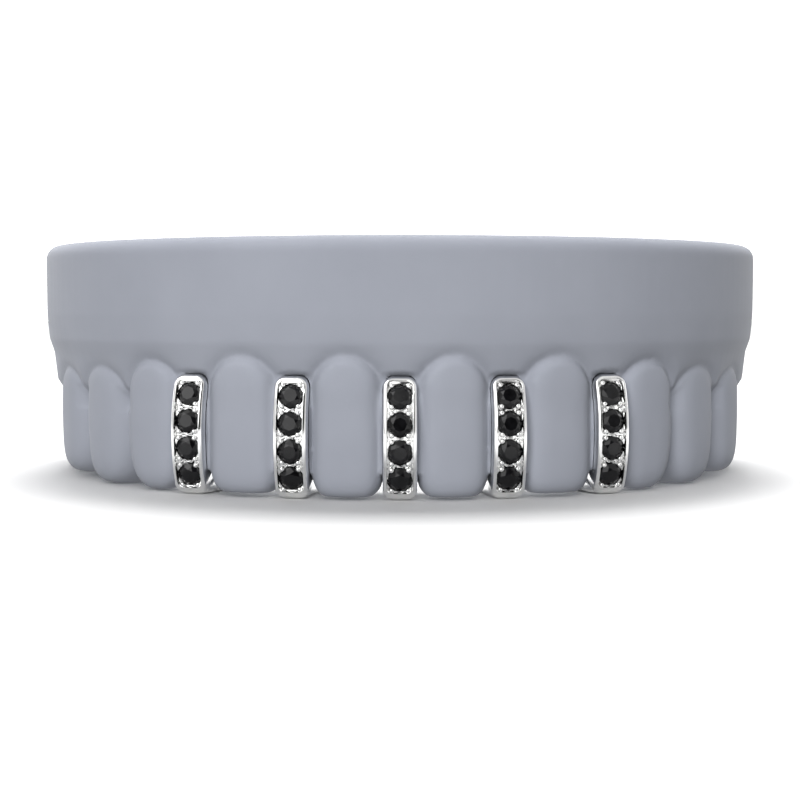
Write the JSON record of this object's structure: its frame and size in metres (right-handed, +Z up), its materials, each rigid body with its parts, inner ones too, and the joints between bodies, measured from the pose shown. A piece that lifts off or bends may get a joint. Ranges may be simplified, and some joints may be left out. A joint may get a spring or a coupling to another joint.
{
  "type": "grillz tooth cover on a plain dental model stand",
  "caption": "Polished tooth-gap grillz: upright metal bars set with black faceted stones and joined behind the front teeth, on a plain grey upper tooth model that stands on its teeth.",
  "frame": {"origin": "on the floor under the centre of the whole object's bounding box", "axes": "+X to the right of the front view, -Y towards the viewer where the bars face, +Z up from the tooth tips to the flat top of the base"},
  "size_m": [0.0694, 0.0436, 0.0215],
  "materials": {
    "stand_resin": "matte, fine grain",
    "silver": "mirror polished",
    "black_stone": "faceted, polished"
  },
  "bodies": {
    "root": {"dental_stand": "stand_resin", "grill_frame": "silver", "stone_1_1": "black_stone", "stone_1_2": "black_stone", "stone_1_3": "black_stone", "stone_1_4": "black_stone", "stone_2_1": "black_stone", "stone_2_2": "black_stone", "stone_2_3": "black_stone", "stone_2_4": "black_stone", "stone_3_1": "black_stone", "stone_3_2": "black_stone", "stone_3_3": "black_stone", "stone_3_4": "black_stone", "stone_4_1": "black_stone", "stone_4_2": "black_stone", "stone_4_3": "black_stone", "stone_4_4": "black_stone", "stone_5_1": "black_stone", "stone_5_2": "black_stone", "stone_5_3": "black_stone", "stone_5_4": "black_stone"}
  },
  "joints": []
}
